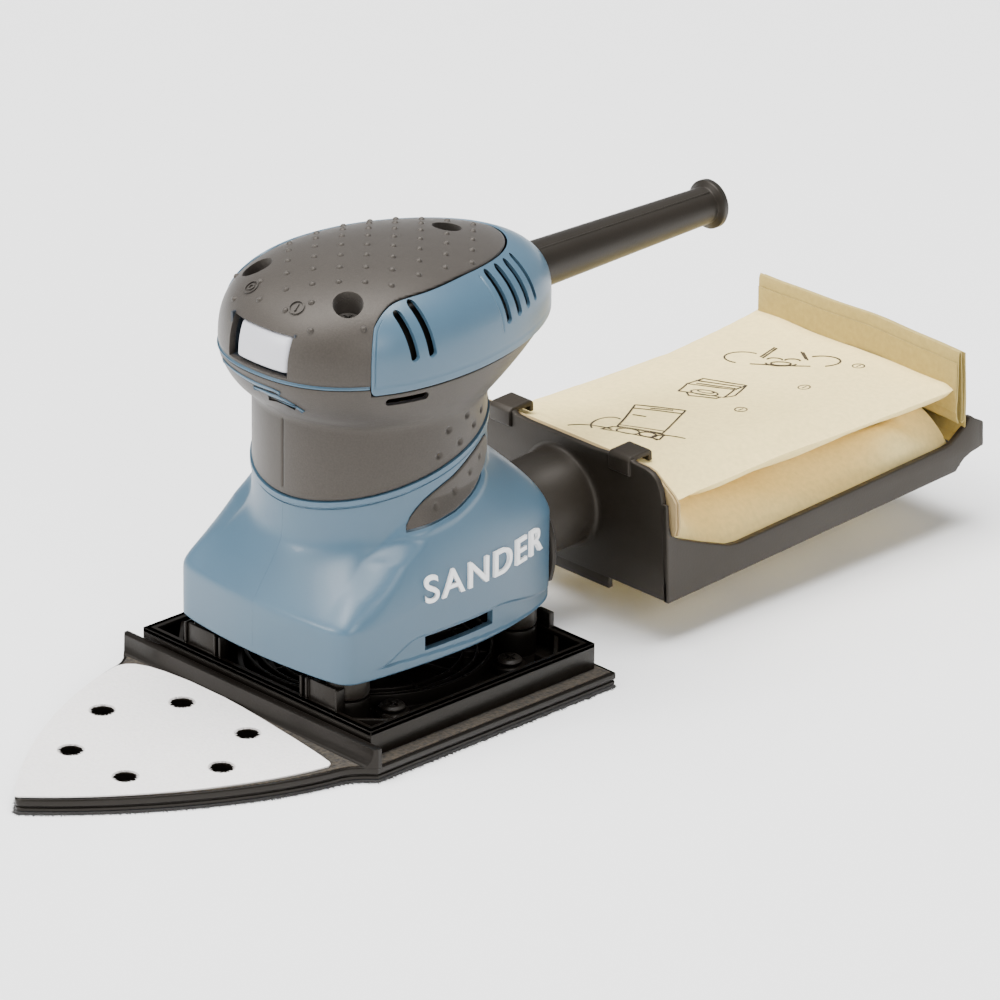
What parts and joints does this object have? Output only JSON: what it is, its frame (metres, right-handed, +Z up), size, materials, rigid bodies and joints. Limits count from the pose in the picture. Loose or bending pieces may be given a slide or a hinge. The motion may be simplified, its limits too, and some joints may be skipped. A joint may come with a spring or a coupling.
{
  "type": "detail mouse sander",
  "caption": "Palm-grip detail sander with a delta-nosed orbiting pad, a top slide switch and a rear dust box that holds a paper dust bag.",
  "frame": {"origin": "centre of the sanding pad's sole, under the eccentric pin at rest", "axes": "+X to the tool's left, +Y to the rear where the cord and dust bag are, +Z up out of the sole"},
  "size_m": [0.112, 0.3606, 0.1402],
  "materials": {
    "blue_shell": "satin moulded, slightly metallic blue-grey",
    "soft_grip": "fine-textured soft overmould",
    "black_plastic": "moulded, satin",
    "black_rubber": "matt",
    "box_plastic": "moulded dark brown-grey",
    "switch_lens": "milky translucent",
    "bag_paper": "cream filter paper",
    "card": "uncoated cardboard",
    "abrasive_sheet": "white-coated abrasive, fine grain",
    "hook_pile": "hook-and-loop pile",
    "steel": "machined",
    "iron": "laminated electrical steel",
    "copper": "enamelled copper wire",
    "brass": "folded strip",
    "carbon": "pressed graphite",
    "aluminium": "die-cast"
  },
  "bodies": {
    "housing": {"housing_left": "blue_shell", "housing_right": "blue_shell", "handle_cover": "blue_shell", "neck_grip_left": "soft_grip", "neck_grip_right": "soft_grip", "side_grip_left": "soft_grip", "side_grip_right": "soft_grip", "palm_grip": "soft_grip", "cover_screw_front_left": "steel", "cover_screw_front_right": "steel", "cover_screw_rear": "steel", "housing_screw_1": "steel", "housing_screw_2": "steel", "cord_clamp_screw_left": "steel", "cord_clamp_screw_right": "steel", "upper_bearing_outer_ring": "steel", "lower_bearing_outer_ring": "steel", "brush_spring_left": "steel", "brush_spring_right": "steel", "cord_guard": "black_rubber", "outlet_ring": "black_rubber", "cord_clamp": "black_plastic", "switch_body": "black_plastic", "dust_outlet": "black_plastic", "stator_core": "iron", "noise_capacitor": "copper", "field_coil_front": "copper", "field_coil_rear": "copper", "lower_bearing_bracket": "aluminium", "carbon_brush_left": "carbon", "carbon_brush_right": "carbon", "brush_holder_left": "brass", "brush_holder_right": "brass"},
    "rotor": {"motor_shaft": "steel", "armature_core": "iron", "armature_winding": "copper", "commutator": "copper", "cooling_fan": "black_plastic", "upper_bearing_inner_ring": "steel", "lower_bearing_inner_ring": "steel", "eccentric_balancer": "steel", "pad_bearing_inner_ring": "steel"},
    "pad": {"platen": "black_plastic", "sanding_pad": "black_plastic", "hook_layer": "hook_pile", "delta_sheet": "abrasive_sheet", "pad_screw_1": "steel", "pad_screw_2": "steel", "pad_screw_3": "steel", "pad_screw_4": "steel", "rubber_leg_front_left": "black_rubber", "rubber_leg_front_right": "black_rubber", "rubber_leg_rear_left": "black_rubber", "rubber_leg_rear_right": "black_rubber", "pad_bearing_outer_ring": "steel"},
    "switch": {"switch_slider": "switch_lens"},
    "dust_box": {"bag_frame": "box_plastic"},
    "bag": {"bag_fixing_card": "card", "bag_card_seal": "black_rubber", "paper_bag": "bag_paper"}
  },
  "joints": [
    {"name": "rotor_spin", "type": "hinge", "parent": "housing", "child": "rotor", "pos_m": [0, -0.00075, 0], "axis": [0, 0, 1], "continuous": true},
    {"name": "pad_orbit", "type": "hinge", "parent": "rotor", "child": "pad", "pos_m": [0, 0, 0], "axis": [0, 0, 1], "continuous": true},
    {"name": "switch_slide", "type": "slide", "parent": "housing", "child": "switch", "axis": [-1, 0, 0], "range_m": [0, 0.0033]},
    {"name": "dust_box_pull", "type": "slide", "parent": "housing", "child": "dust_box", "axis": [0, 0.9988, 0.05], "range_m": [0, 0.03]},
    {"name": "bag_tilt", "type": "hinge", "parent": "dust_box", "child": "bag", "pos_m": [0, 0.08282, 0.05556], "axis": [1, 0, 0], "range_deg": [0, 20]}
  ],
  "couplings": [
    {"joint": "pad_orbit", "follows": "rotor_spin", "ratio": -1}
  ]
}
